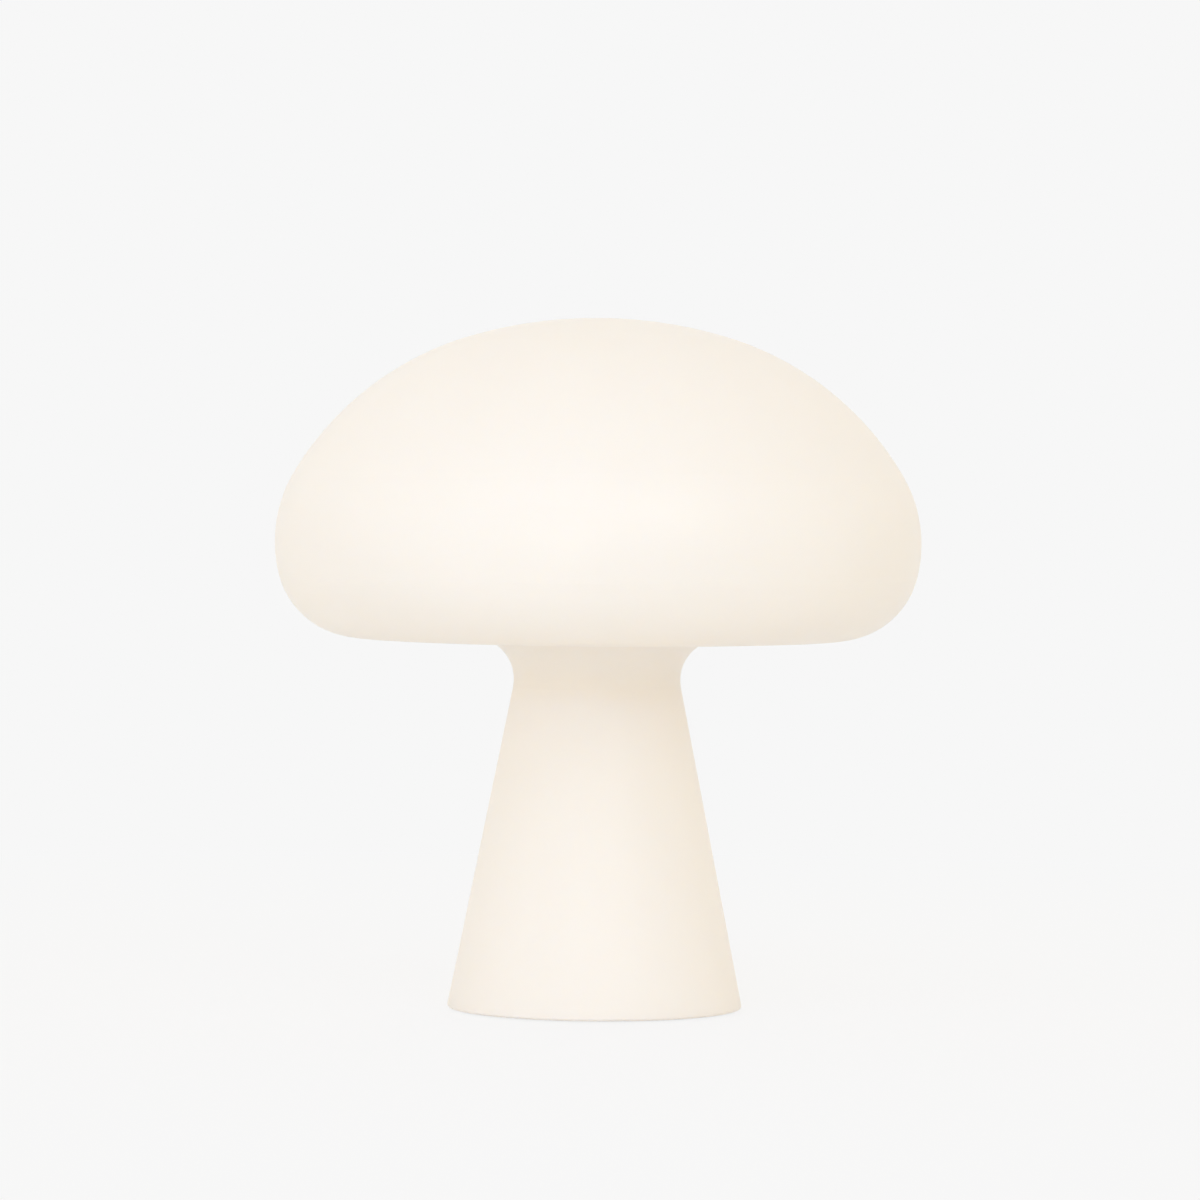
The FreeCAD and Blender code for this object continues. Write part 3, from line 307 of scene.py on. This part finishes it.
def fibre(name, colour):
    """Pressed fibre sheet."""
    shader = Shader(name)
    along = shader.mapping((900.0, 140.0, 300.0))
    threads = shader.noise(scale=1.0, detail=5.0, roughness=0.7, vector=along)
    shader.colour(shader.ramp(threads, [(0.3, shifted(colour, 0.8)), (0.7, shifted(colour, 1.1))]))
    shader.rough(shader.spread(threads, low=0.7, high=0.9))
    shader.normal(shader.bump(threads, distance=0.00003, strength=0.6))
    return shader


def phosphor():
    """Silicone gel with yellow phosphor grains, over the chip."""
    shader = Shader("phosphor")
    gold = srgb(240, 214, 120)
    grains = shader.noise(scale=4000.0, detail=2.0, roughness=0.7)
    shader.colour(shader.ramp(grains, [(0.35, shifted(gold, 0.85)), (0.65, shifted(gold, 1.08))]))
    shader.rough(shader.spread(grains, low=0.2, high=0.32))
    shader.set(Subsurface_Weight=0.2, Subsurface_Scale=0.001, Coat_Weight=0.3, Coat_Roughness=0.1)
    shader.normal(shader.bump(grains, distance=0.00001, strength=0.3))
    return shader


def plastics():
    """Moulded and dipped plastics. The small pieces have a finer and shallower grain."""
    fine = 0.00001
    return [
        moulded("moulded_white", srgb(240, 235, 225), roughness=0.48),
        moulded("moulded_button", srgb(226, 220, 208), roughness=0.38, grain=2200.0, depth=fine),
        moulded("moulded_black", srgb(34, 34, 36), roughness=0.4),
        moulded("component_black", srgb(30, 30, 32), roughness=0.42, grain=3500.0, depth=fine),
        moulded("status_light", srgb(240, 238, 224), roughness=0.2, grain=3000.0, depth=fine / 2),
        moulded("lead_red", srgb(188, 42, 36), roughness=0.32, grain=1800.0, depth=fine),
        moulded("lead_black", srgb(36, 36, 38), roughness=0.32, grain=1800.0, depth=fine),
        moulded("diffuser_opal", srgb(244, 242, 238), roughness=0.5, grain=2600.0, depth=fine),
    ]


def metals():
    """Castings, turned and drawn parts, sheet and screws."""
    zinc = srgb(196, 197, 200)
    ballast = shifted(zinc, 0.8)
    return [
        cast_metal("cast_aluminium", srgb(206, 207, 209)),
        cast_metal("ferrite", srgb(84, 84, 88)),
        metal("drawn_aluminium", srgb(218, 219, 221), roughness=0.28, grain=(900.0, 900.0, 25.0)),
        metal("screw_steel", zinc, roughness=0.3, grain=(500.0, 500.0, 500.0)),
        metal("ballast_steel", ballast, roughness=0.36, grain=(30.0, 900.0, 30.0), depth=0.00002),
        metal("sheet_steel", srgb(214, 214, 216), roughness=0.24, grain=(900.0, 40.0, 40.0)),
        metal("nickel", srgb(210, 205, 192), roughness=0.22, grain=(40.0, 900.0, 40.0)),
        metal("brass", srgb(214, 184, 116), roughness=0.25, grain=(500.0, 500.0, 80.0)),
    ]


def other_finishes():
    """Glass, silicones, boards, phosphor, film and sheet."""
    return [
        opal_glass(),
        silicone("silicone_clear", srgb(226, 224, 216)),
        silicone("silicone_foot", srgb(228, 221, 208)),
        silicone("pad_rubber", srgb(58, 58, 60)),
        board("board_green", srgb(24, 88, 52), srgb(52, 128, 78)),
        board("board_white", srgb(238, 238, 236), srgb(226, 226, 222)),
        phosphor(),
        sleeve("cell_sleeve", srgb(46, 104, 138)),
        fibre("fibre", srgb(206, 196, 166)),
    ]


def dress_nodes():
    """Gives every CAD node the finish that has the name of its slot in the record."""
    finishes = plastics() + metals() + other_finishes()
    materials = {finish.name: finish.material for finish in finishes}
    for part in frame["record"]["subparts"]:
        slots = NODES[part["node"]].data.materials
        slots.clear()
        slots.append(materials[part["material_slot"]])


# ---------------------------------------------------------------- floor and backdrop

BACKGROUND = srgb(*BACKGROUND_STEPS)


def seen_straight(tree):
    """1 where the eye, a reflection or glass shows the surface, and 0 for the light that it gives off."""
    path = tree.nodes.new("ShaderNodeLightPath").outputs
    mirrored = calculated(tree, "MAXIMUM", path["Is Camera Ray"], path["Is Glossy Ray"])
    return calculated(tree, "MAXIMUM", mirrored, path["Is Transmission Ray"])


def floor_paint():
    """Matte paint that keeps the lamp's shadow, under a share of plain background. Clear from below."""
    shader = Shader("floor_paint")
    tree = shader.tree
    tone = shader.noise(scale=3.0, detail=2.0)
    shader.colour(shader.ramp(tone, [(0.3, shifted(BACKGROUND, 0.995)), (0.7, BACKGROUND)]))
    shader.set(Roughness=0.9, Specular_IOR_Level=0.0)
    glow = tree.nodes.new("ShaderNodeEmission")
    glow.inputs["Color"].default_value = (*BACKGROUND, 1.0)
    radius = tree.nodes.new("ShaderNodeVectorMath")
    radius.operation = "LENGTH"
    shader.link(shader.coordinates, radius.inputs[0])
    even = shader.spread(radius.outputs["Value"], FLOOR_EVENNESS, 1.0, FLOOR_NEAR, FLOOR_FAR)
    share = calculated(tree, "MULTIPLY", even, seen_straight(tree))
    top = blended(tree, share, shader.bsdf.outputs["BSDF"], glow.outputs["Emission"])
    from_below = tree.nodes.new("ShaderNodeNewGeometry").outputs["Backfacing"]
    clear = tree.nodes.new("ShaderNodeBsdfTransparent").outputs["BSDF"]
    shader.link(blended(tree, from_below, top, clear), shader.output.inputs["Surface"])
    return shader


def floor():
    """Flat disc that the lamp stands on, with its opening under the foot."""
    corners = []
    for radius in (FLOOR_WINDOW, FLOOR_REACH):
        for side in range(FLOOR_SIDES):
            turn = math.tau * side / FLOOR_SIDES
            corners.append((radius * math.cos(turn), radius * math.sin(turn), -FLOOR_DROP))
    faces = []
    for side in range(FLOOR_SIDES):
        following = (side + 1) % FLOOR_SIDES
        faces.append((side, FLOOR_SIDES + side, FLOOR_SIDES + following, following))
    mesh = bpy.data.meshes.new("floor")
    mesh.from_pydata(corners, [], faces)
    mesh.materials.append(floor_paint().material)
    disc = bpy.data.objects.new("floor", mesh)
    bpy.context.scene.collection.objects.link(disc)


# ---------------------------------------------------------------- light


def world():
    """Even studio light all round, and the pale background where the eye looks past the lamp."""
    studio = bpy.data.worlds.new("studio")
    bpy.context.scene.world = studio
    studio.use_nodes = True
    tree = studio.node_tree
    tree.nodes.clear()
    output = tree.nodes.new("ShaderNodeOutputWorld")
    fill = tree.nodes.new("ShaderNodeBackground")
    fill.inputs["Color"].default_value = (*WORLD_TINT, 1.0)
    fill.inputs["Strength"].default_value = WORLD_STRENGTH
    backdrop = tree.nodes.new("ShaderNodeBackground")
    backdrop.inputs["Color"].default_value = (*BACKGROUND, 1.0)
    seen = blended(
        tree, seen_straight(tree), fill.outputs["Background"], backdrop.outputs["Background"]
    )
    tree.links.new(seen, output.inputs["Surface"])


def direction(azimuth, elevation):
    """Unit vector from the lamp towards an azimuth and an elevation, in degrees."""
    turn = math.radians(azimuth)
    rise = math.radians(elevation)
    return Vector((math.sin(turn) * math.cos(rise), -math.cos(turn) * math.cos(rise), math.sin(rise)))


def soft_box(name, azimuth, elevation, distance, size, watts, tint, shine):
    """Round soft box that looks at the middle of the lamp."""
    data = bpy.data.lights.new(name, "AREA")
    data.shape = "DISK"
    data.size = size
    data.energy = watts
    data.color = tint
    towards = direction(azimuth, elevation)
    light = bpy.data.objects.new(name, data)
    light.location = Vector(LAMP_AIM) + distance * towards
    light.rotation_euler = towards.to_track_quat("Z", "Y").to_euler()
    light.visible_glossy = shine
    bpy.context.scene.collection.objects.link(light)


# ---------------------------------------------------------------- camera


def camera():
    """Camera at the photograph's viewing angle and distance."""
    data = bpy.data.cameras.new("camera")
    data.lens = CAMERA_FOCAL
    data.sensor_width = CAMERA_SENSOR
    data.clip_start = CAMERA_NEAR
    data.clip_end = CAMERA_FAR
    target = Vector((0.0, 0.0, CAMERA_TARGET))
    eye = target + CAMERA_DISTANCE * direction(0.0, CAMERA_ELEVATION)
    aim = target + Vector((AIM_RIGHT, 0.0, AIM_UP))
    level = (aim - eye).to_track_quat("-Z", "Y").to_matrix().to_4x4()
    roll = Matrix.Rotation(math.radians(CAMERA_ROLL), 4, "Z")
    camera_object = bpy.data.objects.new("camera", data)
    camera_object.matrix_world = Matrix.Translation(eye) @ level @ roll
    bpy.context.scene.collection.objects.link(camera_object)
    bpy.context.scene.camera = camera_object


# ---------------------------------------------------------------- scene

bpy.context.scene.view_settings.view_transform = "Standard"
camera()
world()
for lamp in LAMPS:
    soft_box(*lamp)
floor()
dress_nodes()
